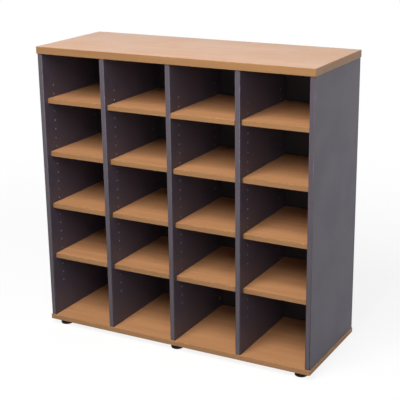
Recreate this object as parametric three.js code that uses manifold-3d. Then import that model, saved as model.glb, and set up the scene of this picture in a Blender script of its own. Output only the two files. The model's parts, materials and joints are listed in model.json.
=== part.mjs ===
// Pigeonhole mail sorter: a board carcass of four columns, with loose shelves on pins and levelling feet.
// Millimetres, +Z up, front facing -Y. The origin is on the floor, under the middle of the unit.
import * as THREE from 'three';
import { mergeVertices } from 'three/addons/utils/BufferGeometryUtils.js';
import Module from 'manifold-3d';

const wasm = await Module();
wasm.setup();

// Carcass boards
const bayWidth = 236; // clear width between two uprights
const bayCount = 4;
const uprightThickness = 18; // sides and dividers
const uprightHeight = 972;
const sideDepth = 387; // front edge to rear edge
const topThickness = 25;
const baseThickness = 18;
const endOverhang = 2.5; // top and base beyond the outer faces of the sides
const frontOverhang = 3.5;
const rearOverhang = 2.5;

// Back panel, housed in a groove of the sides, the top and the base
const backThickness = 6;
const backInset = 18; // rear edge of the sides to the back panel
const grooveDepth = 8;

// Shelf-pin holes in two rows, and the pins that carry the shelves
const holePitch = 32;
const holeRadius = 2.5;
const holeDepth = 12; // blind in the sides, right through the dividers
const lowestHole = 120; // above the foot of the upright
const holeFreeTop = 100; // undrilled length at the head of the upright
const frontHoleRow = 57.5; // behind the front edge of the upright
const rearHoleFromBack = 51.5; // in front of the back panel
const pinReach = 8; // pin standing out of the upright
const boreSides = 6;

// Loose shelves
const shelfThickness = 18;
const shelfSideGap = 1; // to the upright on either side
const shelfRearGap = 1; // to the back panel, when pushed home
const shelfSetback = 22; // behind the front edge of the uprights, when pushed home
const firstShelfHole = 3; // counted from the lowest hole, which is 0
const shelfHoleStep = 6;
const drawnStep = 1; // of the table below
// How far each shelf is drawn forward from home: one row for each column from the left, lowest shelf first
const shelfDrawn = [
  [4, 4, 0, 1],
  [3, 3, 3, 9],
  [3, 3, 11, 22],
  [1, 1, 5, 11],
];

// Dowels, glued into both ends of every upright
const dowelRadius = 4;
const dowelReach = 12;
const dowelFromFront = 80; // behind the front edge of the upright
const dowelFromBack = 133; // in front of the back panel
const dowelSides = 8;

// Cam fitting and its bolt, which draw the foot of each upright down to the base
const camRadius = 7.5;
const camLength = 12.8;
const camRecess = 0.2; // below the face of the upright
const camFromFoot = 34;
const camFromBack = 21.5; // in front of the back panel
const camSides = 12;
const camSlotLength = 9; // for the screwdriver
const camSlotWidth = 1.6;
const camSlotDepth = 2;
const boltThreadRadius = 3;
const boltThreadLength = 11;
const boltShankRadius = 2.4;
const boltHeadRadius = 3.5;
const boltHeadLength = 5;
const boltSides = 8;

// Levelling foot: a pad that swivels on a threaded stem, screwed into an insert in the base
const padRadius = 22.5;
const padHeight = 14;
const padToeRound = 2; // lower edge
const padShoulder = 4; // height of the sloped upper edge
const padCapRadius = 14; // flat top inside the slope
const padFloor = 4; // under the pocket
const padSides = 16;
const stemRadius = 4;
const stemHeadRadius = 7;
const stemHeadHeight = 5;
const stemSides = 10;
const stemEngagement = 15; // stem inside the base panel
const hexAcrossFlats = 13;
const hexSides = 6;
const hexHeight = 3.7;
const insertRadius = 6;
const insertLength = 13;
const insertFlangeRadius = 10;
const insertFlangeThickness = 1.5;
const footEndInset = 45.5; // from the ends of the base to the outer feet
const footFrontInset = 36;
const footRearInset = 70;

// Clearances
const seatGap = 0.2; // between faces that meet
const fitGap = 0.3; // around what plugs in or turns
const overshoot = 1; // of a cut past the face where it breaks out

// Widths
const bayPitch = bayWidth + uprightThickness;
const innerHalfWidth = (bayCount * bayPitch - uprightThickness) / 2;
const panelHalfWidth = innerHalfWidth + uprightThickness + endOverhang;

// Depths
const panelDepth = frontOverhang + sideDepth + rearOverhang;
const panelFront = -panelDepth / 2;
const panelRear = panelDepth / 2;
const uprightFront = panelFront + frontOverhang;
const sideRear = uprightFront + sideDepth;
const backRear = sideRear - backInset;
const backFront = backRear - backThickness;
const dividerRear = backFront - seatGap;
const dowelRows = [uprightFront + dowelFromFront, backFront - dowelFromBack];
const shelfDepth = backFront - shelfRearGap - shelfSetback - uprightFront;

// Heights
const hexBottom = padHeight + fitGap;
const flangeBottom = hexBottom + hexHeight + fitGap;
const baseBottom = flangeBottom + insertFlangeThickness + seatGap;
const baseTop = baseBottom + baseThickness;
const uprightBottom = baseTop + seatGap;
const uprightTop = uprightBottom + uprightHeight;
const topBottom = uprightTop + seatGap;
const topTop = topBottom + topThickness;

// Hole rows and shelf levels
const holeCount = Math.floor((uprightHeight - lowestHole - holeFreeTop) / holePitch) + 1;
const shelfCount = Math.floor((holeCount - 1 - firstShelfHole) / shelfHoleStep) + 1;
const holeRows = [uprightFront + frontHoleRow, backFront - rearHoleFromBack];
const holeHeight = (hole) => uprightBottom + lowestHole + hole * holePitch;
const shelfHole = (row) => firstShelfHole + row * shelfHoleStep;
const shelfBottom = (row) => holeHeight(shelfHole(row)) + holeRadius + seatGap;

const beech = { color: 0xbe8a5c, roughness: 0.45, metalness: 0 };
const charcoal = { color: 0x5a565d, roughness: 0.55, metalness: 0 };
const darkBack = { color: 0x3a363b, roughness: 0.6, metalness: 0 };
const blackPlastic = { color: 0x141414, roughness: 0.5, metalness: 0 };
const zinc = { color: 0xb4b4b0, roughness: 0.35, metalness: 1 };

const sorter = new THREE.Group();

function addPiece(name, geometry, finish, parent = sorter) {
  const mesh = new THREE.Mesh(geometry, new THREE.MeshStandardMaterial(finish));
  mesh.name = name;
  parent.add(mesh);
  return mesh;
}

// A rectangular block between two corners.
function block(x0, x1, y0, y1, z0, z1) {
  const geometry = new THREE.BoxGeometry(x1 - x0, y1 - y0, z1 - z0);
  geometry.translate((x0 + x1) / 2, (y0 + y1) / 2, (z0 + z1) / 2);
  return geometry;
}

// A straight rod with its corners on the radius and a flat on top, along X or Z.
function rodAlongX(radius, sides, x0, x1, y, z) {
  const geometry = new THREE.CylinderGeometry(radius, radius, x1 - x0, sides, 1, false, Math.PI / sides);
  geometry.rotateZ(Math.PI / 2);
  geometry.translate((x0 + x1) / 2, y, z);
  return geometry;
}

function rodAlongZ(radius, sides, x, y, z0, z1) {
  const geometry = new THREE.CylinderGeometry(radius, radius, z1 - z0, sides, 1, false, Math.PI / sides);
  geometry.rotateX(Math.PI / 2);
  geometry.translate(x, y, (z0 + z1) / 2);
  return geometry;
}

// The corner radius of a section whose flats lie on the given radius, so that a round rod clears it.
function roundFlats(radius, sides) {
  return radius / Math.cos(Math.PI / sides);
}

// A turned piece about Z, from [radius, height] points that go up the outside.
function turned(points, sides) {
  const profile = points.map(([radius, height]) => new THREE.Vector2(radius, height));
  const geometry = new THREE.LatheGeometry(profile, sides);
  geometry.rotateX(Math.PI / 2);
  return geometry;
}

function toSolid(geometry) {
  const bare = geometry.clone();
  bare.deleteAttribute('normal');
  bare.deleteAttribute('uv');
  const merged = mergeVertices(bare);
  const vertProperties = new Float32Array(merged.attributes.position.array);
  const triVerts = new Uint32Array(merged.index.array);
  return new wasm.Manifold(new wasm.Mesh({ numProp: 3, vertProperties, triVerts }));
}

function toGeometry(solid) {
  const mesh = solid.getMesh();
  const geometry = new THREE.BufferGeometry();
  geometry.setAttribute('position', new THREE.BufferAttribute(mesh.vertProperties, mesh.numProp));
  geometry.setIndex(new THREE.BufferAttribute(mesh.triVerts, 1));
  geometry.computeVertexNormals();
  return geometry;
}

// One piece from a body, what is joined to it and what is cut out of the whole.
function shaped(body, joined, cuts) {
  const whole = joined.reduce((solid, geometry) => solid.add(toSolid(geometry)), toSolid(body));
  return toGeometry(cuts.reduce((solid, geometry) => solid.subtract(toSolid(geometry)), whole));
}

// Uprights run from the left side, number 0, to the right side.
const lastUpright = bayCount;

function uprightSpan(index) {
  const left = -innerHalfWidth - uprightThickness + index * bayPitch;
  const isSide = index === 0 || index === lastUpright;
  return {
    left,
    right: left + uprightThickness,
    middle: left + uprightThickness / 2,
    isSide,
    rear: isSide ? sideRear : dividerRear,
    facesRight: index < lastUpright,
    facesLeft: index > 0,
  };
}

function uprightName(index) {
  if (index === 0) return 'left_side';
  if (index === lastUpright) return 'right_side';
  return `divider_${index}`;
}

// A cam sits in an inner face: a side's own, and the dividers' left and right faces in turn.
function camFacing(index) {
  if (index === 0) return 1;
  if (index === lastUpright) return -1;
  return index % 2 === 0 ? 1 : -1;
}

const camY = backFront - camFromBack;
const camZ = uprightBottom + camFromFoot;

// A rod into the face that the cam sits in, between two depths below that face.
function rodIntoCamFace(index, radius, sides, nearDepth, farDepth) {
  const span = uprightSpan(index);
  const facing = camFacing(index);
  const face = facing > 0 ? span.right : span.left;
  const near = face - facing * nearDepth;
  const far = face - facing * farDepth;
  return rodAlongX(radius, sides, Math.min(near, far), Math.max(near, far), camY, camZ);
}

function makeUpright(index) {
  const span = uprightSpan(index);
  const pinLeft = span.facesLeft ? span.left - pinReach : span.right - holeDepth;
  const pinRight = span.facesRight ? span.right + pinReach : span.left + holeDepth;
  const boreLeft = span.facesLeft ? span.left - overshoot : span.right - holeDepth;
  const boreRight = span.facesRight ? span.right + overshoot : span.left + holeDepth;
  const boreRadius = roundFlats(holeRadius, boreSides);
  const shelfHoles = Array.from({ length: shelfCount }, (unused, row) => shelfHole(row));
  const joined = [];
  const cuts = [];
  for (const y of holeRows) {
    for (let hole = 0; hole < holeCount; hole += 1) {
      const carriesShelf = shelfHoles.includes(hole);
      const list = carriesShelf ? joined : cuts;
      const x0 = carriesShelf ? pinLeft : boreLeft;
      const x1 = carriesShelf ? pinRight : boreRight;
      list.push(rodAlongX(boreRadius, boreSides, x0, x1, y, holeHeight(hole)));
    }
  }
  for (const y of dowelRows) {
    const foot = [uprightBottom - dowelReach, uprightBottom + overshoot];
    const head = [uprightTop - overshoot, uprightTop + dowelReach];
    joined.push(rodAlongZ(dowelRadius, dowelSides, span.middle, y, ...foot));
    joined.push(rodAlongZ(dowelRadius, dowelSides, span.middle, y, ...head));
  }
  const pocketRadius = roundFlats(camRadius + fitGap, camSides);
  cuts.push(rodIntoCamFace(index, pocketRadius, camSides, -overshoot, camRecess + camLength + fitGap));
  const boltBore = roundFlats(boltHeadRadius + fitGap, boltSides);
  cuts.push(rodAlongZ(boltBore, boltSides, span.middle, camY, uprightBottom - overshoot, camZ));
  if (span.isSide) {
    const grooveX0 = span.facesRight ? span.right - grooveDepth : span.left - overshoot;
    const grooveX1 = span.facesRight ? span.right + overshoot : span.left + grooveDepth;
    const [z0, z1] = [uprightBottom - overshoot, uprightTop + overshoot];
    cuts.push(block(grooveX0, grooveX1, backFront - fitGap, backRear + fitGap, z0, z1));
  }
  const board = block(span.left, span.right, uprightFront, span.rear, uprightBottom, uprightTop);
  addPiece(uprightName(index), shaped(board, joined, cuts), charcoal);
}

function makeCam(index) {
  const span = uprightSpan(index);
  const facing = camFacing(index);
  const face = facing > 0 ? span.right : span.left;
  const cam = rodIntoCamFace(index, camRadius, camSides, camRecess, camRecess + camLength);
  const throat = boltHeadRadius + fitGap;
  const throatInner = face - facing * (camRecess + camLength + overshoot);
  const throatOuter = span.middle + facing * throat;
  const slotInner = face - facing * (camRecess + camSlotDepth);
  const slotOuter = face + facing * overshoot;
  const throatX = [Math.min(throatInner, throatOuter), Math.max(throatInner, throatOuter)];
  const throatZ = [camZ - camRadius - overshoot, camZ + throat];
  const slotX = [Math.min(slotInner, slotOuter), Math.max(slotInner, slotOuter)];
  const slotY = [camY - camSlotLength / 2, camY + camSlotLength / 2];
  const slotZ = [camZ - camSlotWidth / 2, camZ + camSlotWidth / 2];
  const throatCut = block(...throatX, camY - throat, camY + throat, ...throatZ);
  const slotCut = block(...slotX, ...slotY, ...slotZ);
  addPiece(`cam_${uprightName(index)}`, shaped(cam, [], [throatCut, slotCut]), zinc);

  const threadFoot = baseTop - boltThreadLength;
  const headBottom = camZ - boltHeadLength / 2;
  const bolt = turned(
    [
      [0, threadFoot],
      [boltThreadRadius, threadFoot],
      [boltThreadRadius, baseTop],
      [boltShankRadius, uprightBottom],
      [boltShankRadius, headBottom],
      [boltHeadRadius, headBottom],
      [boltHeadRadius, headBottom + boltHeadLength],
      [0, headBottom + boltHeadLength],
    ],
    boltSides,
  );
  addPiece(`cam_bolt_${uprightName(index)}`, bolt, zinc).position.set(span.middle, camY, 0);
}

// The groove that houses one edge of the back panel, in the top or the base.
function backGroove(z0, z1) {
  const halfWidth = innerHalfWidth + grooveDepth;
  return block(-halfWidth, halfWidth, backFront - fitGap, backRear + fitGap, z0, z1);
}

// Blind dowel holes for every upright, in the top or the base.
function dowelHoles(z0, z1) {
  const radius = roundFlats(dowelRadius + fitGap, dowelSides);
  const holes = [];
  for (let index = 0; index <= lastUpright; index += 1) {
    for (const y of dowelRows) {
      holes.push(rodAlongZ(radius, dowelSides, uprightSpan(index).middle, y, z0, z1));
    }
  }
  return holes;
}

const footOuterX = panelHalfWidth - footEndInset;
const footPlaces = [
  ['front_left', -footOuterX, panelFront + footFrontInset],
  ['front_middle', 0, panelFront + footFrontInset],
  ['front_right', footOuterX, panelFront + footFrontInset],
  ['rear_left', -footOuterX, panelRear - footRearInset],
  ['rear_middle', 0, panelRear - footRearInset],
  ['rear_right', footOuterX, panelRear - footRearInset],
];

function makeTop() {
  const cuts = dowelHoles(topBottom - overshoot, uprightTop + dowelReach + fitGap);
  cuts.push(backGroove(topBottom - overshoot, topBottom + grooveDepth));
  const board = block(-panelHalfWidth, panelHalfWidth, panelFront, panelRear, topBottom, topTop);
  addPiece('top_panel', shaped(board, [], cuts), beech);
}

function makeBase() {
  const cuts = dowelHoles(uprightBottom - dowelReach - fitGap, baseTop + overshoot);
  cuts.push(backGroove(baseTop - grooveDepth, baseTop + overshoot));
  const boltBore = roundFlats(boltThreadRadius + fitGap, boltSides);
  const boltFloor = baseTop - boltThreadLength - fitGap;
  for (let index = 0; index <= lastUpright; index += 1) {
    const x = uprightSpan(index).middle;
    cuts.push(rodAlongZ(boltBore, boltSides, x, camY, boltFloor, baseTop + overshoot));
  }
  const insertBore = roundFlats(insertRadius + fitGap, stemSides);
  const insertRoof = baseBottom + Math.max(insertLength, stemEngagement) + fitGap;
  for (const [, x, y] of footPlaces) {
    cuts.push(rodAlongZ(insertBore, stemSides, x, y, baseBottom - overshoot, insertRoof));
  }
  const board = block(-panelHalfWidth, panelHalfWidth, panelFront, panelRear, baseBottom, baseTop);
  addPiece('base_panel', shaped(board, [], cuts), beech);
}

function makeBack() {
  const tongue = grooveDepth - fitGap;
  const halfWidth = innerHalfWidth + tongue;
  const board = block(-halfWidth, halfWidth, backFront, backRear, baseTop - tongue, topBottom + tongue);
  addPiece('back_panel', board, darkBack);
}

function makeShelf(column, row) {
  const left = -innerHalfWidth + column * bayPitch + shelfSideGap;
  const right = left + bayWidth - 2 * shelfSideGap;
  const drawnInColumn = shelfDrawn[column % shelfDrawn.length];
  const drawn = drawnInColumn[row % drawnInColumn.length] * drawnStep;
  const front = uprightFront + shelfSetback - drawn;
  const bottom = shelfBottom(row);
  const board = block(left, right, front, front + shelfDepth, bottom, bottom + shelfThickness);
  addPiece(`shelf_column${column + 1}_row${row + 1}`, board, beech);
}

function makeFoot(place, x, y) {
  const foot = new THREE.Group();
  foot.position.set(x, y, 0);
  sorter.add(foot);

  const pocket = roundFlats(stemHeadRadius + fitGap, padSides);
  const neck = roundFlats(stemRadius + fitGap, padSides);
  const pocketRoof = padFloor + stemHeadHeight + 2 * fitGap;
  const pad = turned(
    [
      [0, 0],
      [padRadius - padToeRound, 0],
      [padRadius, padToeRound],
      [padRadius, padHeight - padShoulder],
      [padCapRadius, padHeight],
      [neck, padHeight],
      [neck, pocketRoof],
      [pocket, pocketRoof],
      [pocket, padFloor],
      [0, padFloor],
    ],
    padSides,
  );
  addPiece(`foot_pad_${place}`, pad, blackPlastic, foot);

  const headBottom = padFloor + fitGap;
  const head = rodAlongZ(stemHeadRadius, stemSides, 0, 0, headBottom, headBottom + stemHeadHeight);
  const shank = rodAlongZ(stemRadius, stemSides, 0, 0, headBottom + overshoot, baseBottom + stemEngagement);
  const hexCorner = roundFlats(hexAcrossFlats / 2, hexSides);
  const hexagon = rodAlongZ(hexCorner, hexSides, 0, 0, hexBottom, hexBottom + hexHeight);
  addPiece(`foot_stem_${place}`, shaped(head, [shank, hexagon], []), zinc, foot);

  const bore = roundFlats(stemRadius + fitGap, stemSides);
  const flangeTop = flangeBottom + insertFlangeThickness;
  const insert = turned(
    [
      [bore, flangeBottom],
      [insertFlangeRadius, flangeBottom],
      [insertFlangeRadius, flangeTop],
      [insertRadius, flangeTop],
      [insertRadius, baseBottom + insertLength],
      [bore, baseBottom + insertLength],
      [bore, flangeBottom],
    ],
    stemSides,
  );
  addPiece(`foot_insert_${place}`, insert, zinc, foot);
}

makeTop();
makeBase();
makeBack();
for (let index = 0; index <= lastUpright; index += 1) {
  makeUpright(index);
  makeCam(index);
}
for (let column = 0; column < bayCount; column += 1) {
  for (let row = 0; row < shelfCount; row += 1) {
    makeShelf(column, row);
  }
}
for (const [place, x, y] of footPlaces) {
  makeFoot(place, x, y);
}

export default sorter;
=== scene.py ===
# %% [markdown]
# # A pigeonhole mail sorter
#
# This lesson dresses a board-built office sorter: four columns of five pigeonholes, with a beech top and
# base, charcoal uprights, loose beech shelves on steel pins and black levelling feet. The solids of the
# sorter are already made, at their real size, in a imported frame. Blender adds what a solid lacks: rounded
# edge bands, drilled holes with raw board inside, printed grain, metal fittings and soft light. Nothing in
# the frame is moved, so every piece that is made here goes exactly where its solid is.

# %% Load the frame
import json
import math

import bmesh
import bpy
from mathutils import Matrix, Vector

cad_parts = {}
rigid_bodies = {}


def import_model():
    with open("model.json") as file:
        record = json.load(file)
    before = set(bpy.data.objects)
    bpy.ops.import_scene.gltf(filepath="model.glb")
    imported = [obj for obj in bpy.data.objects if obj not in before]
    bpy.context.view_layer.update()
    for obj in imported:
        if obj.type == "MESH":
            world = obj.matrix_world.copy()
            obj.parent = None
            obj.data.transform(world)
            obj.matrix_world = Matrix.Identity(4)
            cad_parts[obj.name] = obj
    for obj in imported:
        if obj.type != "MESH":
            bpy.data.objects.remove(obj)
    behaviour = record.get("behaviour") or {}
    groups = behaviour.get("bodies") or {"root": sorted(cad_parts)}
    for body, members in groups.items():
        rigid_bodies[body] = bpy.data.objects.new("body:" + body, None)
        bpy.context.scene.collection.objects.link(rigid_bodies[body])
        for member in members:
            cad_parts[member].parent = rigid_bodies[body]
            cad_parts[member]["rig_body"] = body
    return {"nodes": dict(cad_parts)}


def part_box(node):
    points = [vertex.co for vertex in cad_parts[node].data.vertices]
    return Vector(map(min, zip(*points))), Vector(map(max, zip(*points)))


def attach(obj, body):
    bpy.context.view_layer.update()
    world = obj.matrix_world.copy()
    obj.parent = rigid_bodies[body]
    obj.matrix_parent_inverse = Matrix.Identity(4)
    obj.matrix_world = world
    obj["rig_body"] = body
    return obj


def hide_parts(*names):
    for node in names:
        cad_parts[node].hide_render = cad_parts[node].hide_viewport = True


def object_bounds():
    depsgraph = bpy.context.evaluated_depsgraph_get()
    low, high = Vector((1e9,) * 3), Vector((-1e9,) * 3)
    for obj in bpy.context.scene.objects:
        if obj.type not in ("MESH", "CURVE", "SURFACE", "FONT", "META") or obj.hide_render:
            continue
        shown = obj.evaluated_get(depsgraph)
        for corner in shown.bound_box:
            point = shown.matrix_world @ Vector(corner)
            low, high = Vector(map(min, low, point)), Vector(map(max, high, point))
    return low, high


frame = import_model()
cad_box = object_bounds()
MM = 0.001
X, Z = 0, 2


def show(name, data):
    """A new object in the scene, for a mesh, a lamp or a lens."""
    made = bpy.data.objects.new(name, data)
    bpy.context.scene.collection.objects.link(made)
    return made


# %% [markdown]
# ## The camera
#
# The photograph was taken from the right and a little above, with a long lens. Where the camera stood can
# be worked out from the picture: the long straight edges of the boards give the directions, and the real
# size of the sorter gives the distance. The camera is set first, because every later choice is judged
# through it. It is turned by three plain angles: yaw to the left, pitch downwards and a slight roll.

# %% Place the camera
PHOTO_SIDE = 400
FOCAL_PIXELS = 1045.0
CAMERA_PLACE = Vector((1.6963, -3.0792, 1.5960))
YAW, PITCH, ROLL = math.radians(28.70), math.radians(17.34), math.radians(-0.74)

lens = bpy.data.cameras.new("camera")
lens.sensor_width = 36
lens.lens = lens.sensor_width * FOCAL_PIXELS / PHOTO_SIDE
camera = show("camera", lens)
level_view = Matrix.Rotation(YAW, 4, "Z") @ Matrix.Rotation(math.pi / 2 - PITCH, 4, "X")
camera.matrix_world = Matrix.Translation(CAMERA_PLACE) @ level_view @ Matrix.Rotation(ROLL, 4, "Z")
bpy.context.scene.camera = camera
bpy.context.scene.view_settings.view_transform = "Standard"
print("lens:", round(lens.lens, 1), "mm")

# %% [markdown]
# ## Small helpers for node trees
#
# Every finish below is a tree of shader nodes. A few helpers keep those trees short to read: one adds a node
# with its settings and inputs, others stand for the nodes that are used most, and the last starts a group
# with named sockets. Colours are written as they are seen on a screen, from 0 to 255.

# %% Node helpers
def paint(red, green, blue):
    """A screen colour in the linear values that a shader takes."""
    def linear(value):
        share = value / 255
        return share / 12.92 if share <= 0.04045 else ((share + 0.055) / 1.055) ** 2.4
    return (linear(red), linear(green), linear(blue), 1.0)


def put(tree, kind, inputs=None, **settings):
    """A new node. Each input is a socket to link from, or a plain value."""
    node = tree.nodes.new("ShaderNode" + kind)
    for name, value in settings.items():
        setattr(node, name, value)
    for name, value in (inputs or {}).items():
        if isinstance(value, bpy.types.NodeSocket):
            tree.links.new(value, node.inputs[name])
        else:
            node.inputs[name].default_value = value
    return node


MIX_FACTOR, MIX_A, MIX_B, MIX_RESULT = 0, 6, 7, 2


def blend(tree, factor, first, second, way="MIX"):
    """The colour that a Mix node makes of two colours."""
    inputs = {MIX_FACTOR: factor, MIX_A: first, MIX_B: second}
    return put(tree, "Mix", inputs, data_type="RGBA", blend_type=way).outputs[MIX_RESULT]


def work_out(tree, kind, way, *values):
    """What a Math or VectorMath node makes of its inputs."""
    return put(tree, kind, dict(enumerate(values)), operation=way).outputs[0]


def times_plus(tree, value, factor, added=0.0):
    """A value times a factor, plus another value."""
    return work_out(tree, "Math", "MULTIPLY_ADD", value, factor, added)


def spread(tree, value, low, high, to_low=0.0, to_high=1.0):
    """A value's range from low to high, eased to another range and held there."""
    inputs = {"Value": value, "From Min": low, "From Max": high, "To Min": to_low, "To Max": to_high}
    return put(tree, "MapRange", inputs, interpolation_type="SMOOTHSTEP").outputs["Result"]


def noise(tree, vector, scale, stretch=(1, 1, 1), detail=2.0, roughness=0.5):
    """Soft noise with that many features in a metre, drawn out along an axis where stretch is small."""
    drawn = work_out(tree, "VectorMath", "MULTIPLY", vector, stretch)
    inputs = {"Vector": drawn, "Scale": scale, "Detail": detail, "Roughness": roughness}
    return put(tree, "TexNoise", inputs).outputs["Fac"]


def node_group(name, inputs, outputs):
    """An empty group with named sockets, and the nodes that stand for its two sides."""
    tree = bpy.data.node_groups.new(name, "ShaderNodeTree")
    for label, kind in inputs.items():
        tree.interface.new_socket(label, in_out="INPUT", socket_type="NodeSocket" + kind)
    for label, kind in outputs.items():
        tree.interface.new_socket(label, in_out="OUTPUT", socket_type="NodeSocket" + kind)
    return tree, tree.nodes.new("NodeGroupInput").outputs, tree.nodes.new("NodeGroupOutput").inputs


# %% [markdown]
# ## Effects that the finishes share
#
# Melamine-faced board is chipboard under a printed paper, pressed hot against a textured plate. Both board
# colours therefore have the same faint pebble, the same smudges from handling and the same rubbed corners,
# so each of these is a node group that is built once and placed in a material with that material's values.
# Groups put out masks, colours and heights only. The shader itself stays in the material.

# %% Pebble, handling and rubbed corners
def build_pebble():
    """The plate's texture: shallow dimples about a millimetre across, on a slower ripple."""
    tree, given, result = node_group("pressed_pebble", {"Vector": "Vector"}, {"Height": "Float"})
    dimples = noise(tree, given["Vector"], scale=900, detail=1.0)
    ripple = noise(tree, given["Vector"], scale=260, detail=1.0)
    tree.links.new(times_plus(tree, dimples, factor=0.6, added=ripple), result["Height"])
    return tree


def build_handling():
    """Broad smudges, and thin scuffs that run level and plumb."""
    tree, given, result = node_group("handling", {"Vector": "Vector"}, {"Smudge": "Float", "Scuff": "Float"})
    smudge = noise(tree, given["Vector"], scale=5.0, detail=4.0, roughness=0.6)
    level_scuff = noise(tree, given["Vector"], scale=420, stretch=(0.04, 0.04, 1))
    plumb_scuff = noise(tree, given["Vector"], scale=420, stretch=(1, 0.05, 0.04))
    both = times_plus(tree, level_scuff, factor=plumb_scuff)
    tree.links.new(spread(tree, smudge, low=0.3, high=0.7), result["Smudge"])
    tree.links.new(spread(tree, both, low=0.40, high=0.46), result["Scuff"])
    return tree


def build_rubbed():
    """Where a rounded corner has been rubbed: patches along the faces that are marked as arris."""
    tree, given, result = node_group("rubbed", {"Vector": "Vector", "Arris": "Float"}, {"Mask": "Float"})
    patches = noise(tree, given["Vector"], scale=60, detail=5.0, roughness=0.7)
    worn = spread(tree, patches, low=0.48, high=0.66)
    tree.links.new(times_plus(tree, worn, factor=given["Arris"]), result["Mask"])
    return tree


pebble = build_pebble()
handling = build_handling()
rubbed = build_rubbed()
ARRIS, BOARD_NUMBER = "arris", "board_number"
PRESS_DEPTH = 0.2 * MM


def start_finish(name):
    """A new material: its tree, its shader and the piece's own coordinates, in metres."""
    finish = bpy.data.materials.new(name)
    finish.use_nodes = True
    tree = finish.node_tree
    shader = tree.nodes["Principled BSDF"]
    place = put(tree, "TexCoord").outputs["Object"]
    return finish, tree, shader, place


def use(tree, group, **inputs):
    """A node that places a shared group in a material."""
    return put(tree, "Group", inputs, node_tree=group).outputs


def wire_board_colour(tree, shader, place, ground, rubbed_to, share):
    """Feeds a board's colour to the shader, changed by a share where a corner is rubbed."""
    arris = put(tree, "Attribute", attribute_name=ARRIS).outputs["Fac"]
    worn = use(tree, rubbed, Vector=place, Arris=arris)["Mask"]
    faint = times_plus(tree, worn, factor=share)
    tree.links.new(blend(tree, faint, ground, rubbed_to), shader.inputs["Base Color"])


def wire_bump(tree, shader, height, strength, distance):
    """Feeds a height to the shader's normal."""
    bump = put(tree, "Bump", {"Height": height, "Strength": strength, "Distance": distance})
    tree.links.new(bump.outputs["Normal"], shader.inputs["Normal"])


print("shared effects:", [group.name for group in bpy.data.node_groups])

# %% [markdown]
# ## Beech print
#
# Beech is a pale pinkish-tan wood with almost no figure: long quiet streaks along the grain, and short dark
# flecks a few millimetres long. A wave texture would draw rings that beech doesn't show. Noise that is
# drawn out along the grain gives the streaks, and a finer, shorter noise that is cut off high gives the
# flecks. The print runs along X on the faces. The edge bands carry a plainer print along their own length,
# so the bands on the two ends turn it through a right angle with a Mapping node. Each board has a number in
# its mesh, which moves the print on, because no two boards are cut from the same stretch of it.

# %% Beech finishes
def build_beech_figure():
    """Streaks and flecks along X, from three colours."""
    inputs = {"Vector": "Vector", "Pale": "Color", "Deep": "Color", "Fleck": "Color"}
    tree, given, result = node_group("beech_figure", inputs, {"Color": "Color", "Height": "Float"})
    place = given["Vector"]
    cloud = noise(tree, place, scale=40, stretch=(0.04, 1, 1))
    streak = noise(tree, place, scale=150, stretch=(0.03, 1, 1))
    line = noise(tree, place, scale=800, stretch=(0.015, 1, 1))
    fine = times_plus(tree, streak, factor=0.7, added=times_plus(tree, line, factor=0.5))
    tone = times_plus(tree, cloud, factor=0.8, added=fine)
    ground = blend(tree, spread(tree, tone, low=0.7, high=1.3), given["Deep"], given["Pale"])
    pores = noise(tree, place, scale=1400, stretch=(0.2, 1, 1), detail=1.0)
    flecks = spread(tree, pores, low=0.60, high=0.70)
    tree.links.new(blend(tree, flecks, ground, given["Fleck"]), result["Color"])
    tree.links.new(flecks, result["Height"])
    return tree


beech_figure = build_beech_figure()
BEECH_PALE, BEECH_DEEP, BEECH_FLECK = paint(197, 143, 99), paint(182, 131, 89), paint(164, 115, 76)
BAND_PALE, BAND_DEEP, BAND_FLECK = paint(150, 109, 69), paint(138, 99, 62), paint(126, 89, 55)
BEECH_RUBBED, BEECH_RUBBED_SHARE = paint(196, 156, 120), 0.3
NEXT_BOARD = (1.7, 0.43, 0.29)
SMUDGE_DULLS = 0.06


def make_beech(name, pale, deep, fleck, smooth, turn=0.0):
    """Beech print, with its grain along X or turned about the upright axis."""
    finish, tree, shader, place = start_finish(name)
    number = put(tree, "Attribute", attribute_name=BOARD_NUMBER).outputs["Fac"]
    cut_from = work_out(tree, "VectorMath", "MULTIPLY_ADD", number, NEXT_BOARD, place)
    grain = put(tree, "Mapping", {"Vector": cut_from, "Rotation": (0, 0, turn)}).outputs["Vector"]
    figure = use(tree, beech_figure, Vector=grain, Pale=pale, Deep=deep, Fleck=fleck)
    marks = use(tree, handling, Vector=place)
    wire_board_colour(tree, shader, place, figure["Color"], BEECH_RUBBED, BEECH_RUBBED_SHARE)
    gloss = spread(tree, marks["Smudge"], low=0, high=1, to_low=smooth, to_high=smooth + SMUDGE_DULLS)
    tree.links.new(gloss, shader.inputs["Roughness"])
    dents = use(tree, pebble, Vector=place)["Height"]
    height = times_plus(tree, figure["Height"], factor=-0.5, added=dents)
    wire_bump(tree, shader, height, strength=0.05, distance=PRESS_DEPTH)
    return finish


beech_face = make_beech("beech_face", BEECH_PALE, BEECH_DEEP, BEECH_FLECK, smooth=0.29)
band_colours = (BAND_PALE, BAND_DEEP, BAND_FLECK)
beech_band = make_beech("beech_band", *band_colours, smooth=0.40)
beech_end_band = make_beech("beech_end_band", *band_colours, smooth=0.40, turn=math.pi / 2)
print("beech finishes:", beech_face.name, beech_band.name, beech_end_band.name)

# %% [markdown]
# ## Charcoal board, dark back and raw chipboard
#
# The uprights are charcoal: a neutral grey with a breath of violet, satin rather than matt. A plain grey
# would look like card, so the print has a fine speckle and a slow drift, and the pebble breaks the sheen.
# The same recipe makes the plainer edge band and the darker back. Where a drill has gone through the face,
# the raw board shows: pale chips of wood, which a Voronoi texture gives at the right size.

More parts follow.
